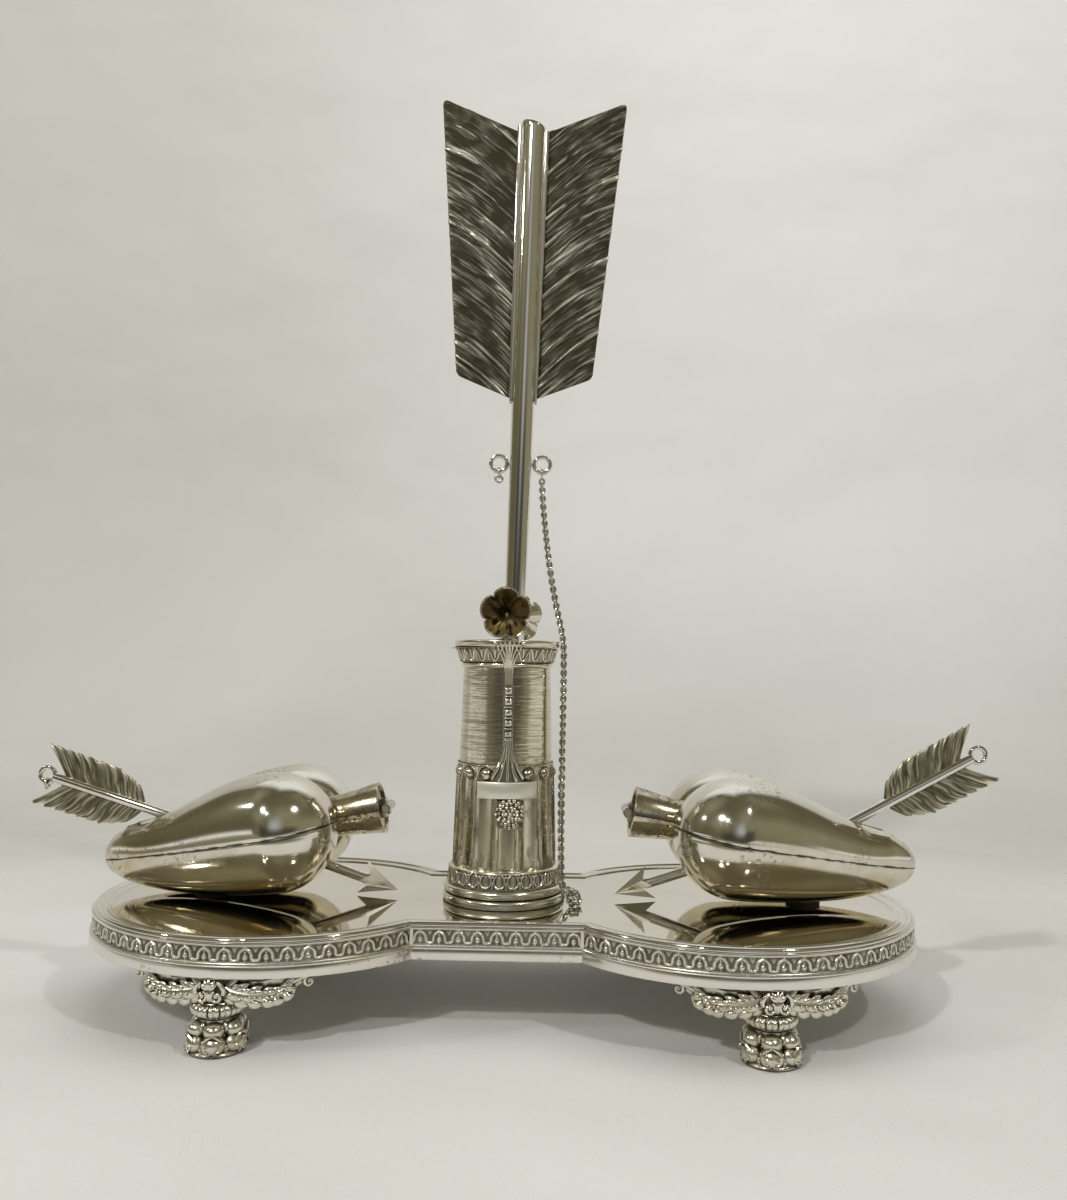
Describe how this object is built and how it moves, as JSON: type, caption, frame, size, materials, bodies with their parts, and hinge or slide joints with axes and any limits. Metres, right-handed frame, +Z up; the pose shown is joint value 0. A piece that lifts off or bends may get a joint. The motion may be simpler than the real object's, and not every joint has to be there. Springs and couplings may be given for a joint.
{
  "type": "desk inkstand",
  "caption": "Two-lobed silver platform on paw feet with a fluted quiver holding a tall arrow, and hinged heart boxes pierced by small arrows.",
  "frame": {"origin": "centre of the platform at the height of the table, under the quiver", "axes": "+Z up, +X along the platform towards the right heart, -Y towards the front with the strap and label bar"},
  "size_m": [0.2948, 0.114, 0.2787],
  "materials": {
    "silver": "polished silver with slight tarnish",
    "gilt": "worn gilding",
    "pin_steel": "plain",
    "glass": "clear"
  },
  "bodies": {
    "base": {"base_tray": "silver", "frieze_left": "silver", "frieze_right": "silver", "frieze_front": "silver", "frieze_rear": "silver", "top_plate": "silver", "plate_border": "silver", "foot_front_left": "silver", "foot_front_right": "silver", "foot_rear_left": "silver", "foot_rear_right": "silver", "foot_nuts": "pin_steel", "quiver_foot": "silver", "quiver_body": "silver", "quiver_capital": "silver", "quiver_palmette": "silver", "quiver_strap": "silver", "label_bar": "silver", "rosette": "silver", "arrow_socket": "silver", "quiver_stud": "pin_steel", "flower_front": "gilt", "flower_rear": "gilt", "plate_nuts": "pin_steel", "bowl_left": "silver", "bowl_right": "silver", "neck_bowl_left": "silver", "neck_bowl_right": "silver", "hinge_pin_left": "pin_steel", "hinge_pin_right": "pin_steel", "liner_left": "glass", "liner_right": "glass", "heart_seat_left": "silver", "heart_seat_right": "silver", "arrowhead_left": "silver", "arrowhead_right": "silver"},
    "left_lid": {"lid_left": "silver", "neck_lid_left": "silver", "tail_left": "silver", "tail_vanes_left": "silver"},
    "right_lid": {"lid_right": "silver", "neck_lid_right": "silver", "tail_right": "silver", "tail_vanes_right": "silver"},
    "arrow": {"arrow_shaft": "silver", "arrow_vane_left": "silver", "arrow_vane_right": "silver", "arrow_ring_left": "silver", "arrow_ring_right": "silver", "chain_link": "silver", "chain": "silver"},
    "arrow_link": {"arrow_link": "silver"},
    "tail_link": {"tail_link": "silver"}
  },
  "joints": [
    {"name": "left_lid_hinge", "type": "hinge", "parent": "base", "child": "left_lid", "pos_m": [-0.0356, 0, 0.0547], "axis": [0, 1, 0], "range_deg": [0, 80]},
    {"name": "right_lid_hinge", "type": "hinge", "parent": "base", "child": "right_lid", "pos_m": [0.037, 0, 0.0547], "axis": [0, -1, 0], "range_deg": [0, 80]},
    {"name": "arrow_lift", "type": "slide", "parent": "base", "child": "arrow", "axis": [0.0244, 0, 0.9997], "range_m": [0, 0.06]},
    {"name": "arrow_link_swing", "type": "hinge", "parent": "arrow", "child": "arrow_link", "pos_m": [-0.00347, 0, 0.15822], "axis": [1, 0, 0], "range_deg": [-35, 35]},
    {"name": "tail_link_swing", "type": "hinge", "parent": "left_lid", "child": "tail_link", "pos_m": [-0.14102, 0, 0.06017], "axis": [1, 0, 0], "range_deg": [-35, 35]}
  ]
}
